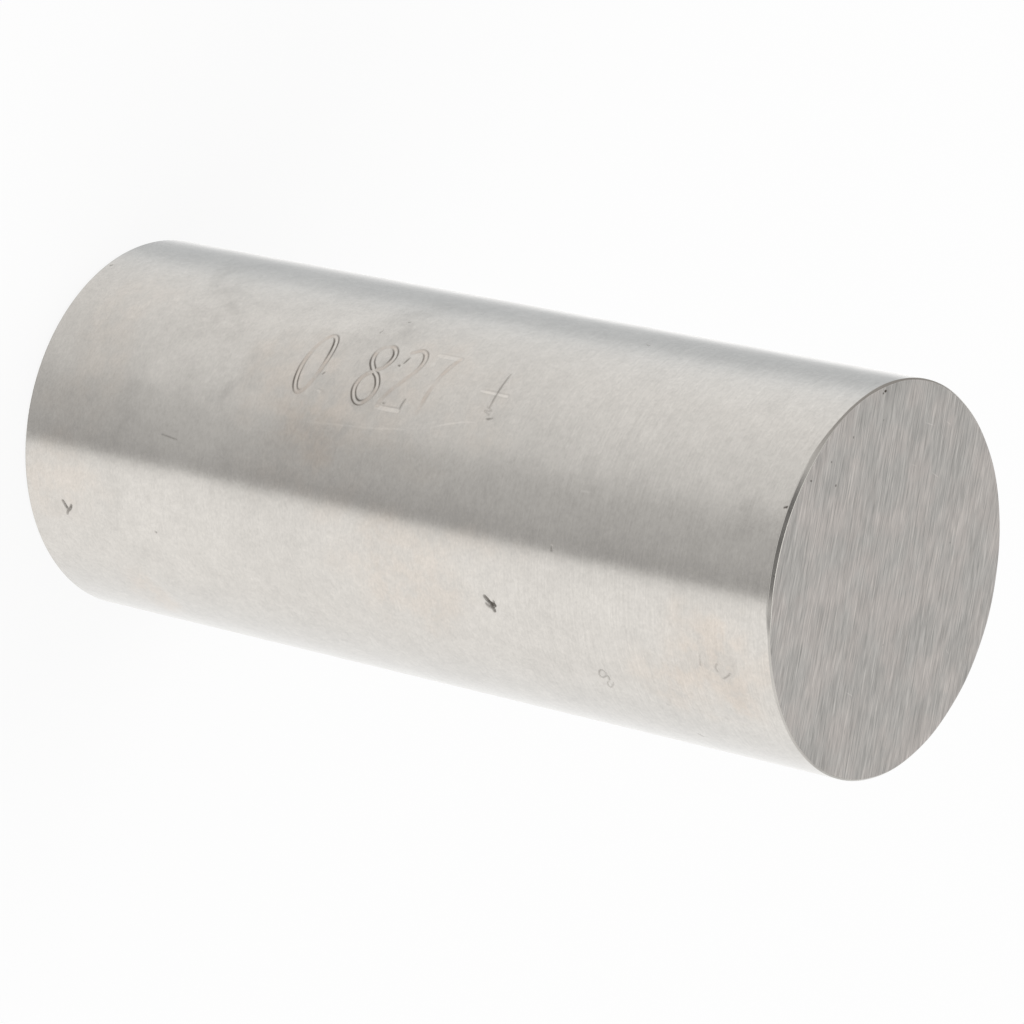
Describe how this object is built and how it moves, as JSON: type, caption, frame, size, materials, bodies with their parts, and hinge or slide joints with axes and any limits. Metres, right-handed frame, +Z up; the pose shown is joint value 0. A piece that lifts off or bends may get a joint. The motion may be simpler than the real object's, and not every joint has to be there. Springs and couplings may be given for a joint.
{
  "type": "pin gauge",
  "caption": "Solid cylindrical steel pin gauge with a ground side, flat ground ends and lightly broken edges, for checking holes and settings.",
  "frame": {"origin": "centre of the lower end face", "axes": "+Z up the pin's axis, from the plain end to the marked end; X and Y are free by symmetry"},
  "size_m": [0.021, 0.021, 0.0508],
  "materials": {
    "ground_steel": "fine ground, bare hardened steel"
  },
  "bodies": {
    "root": {"gauge_pin": "ground_steel"}
  },
  "joints": []
}
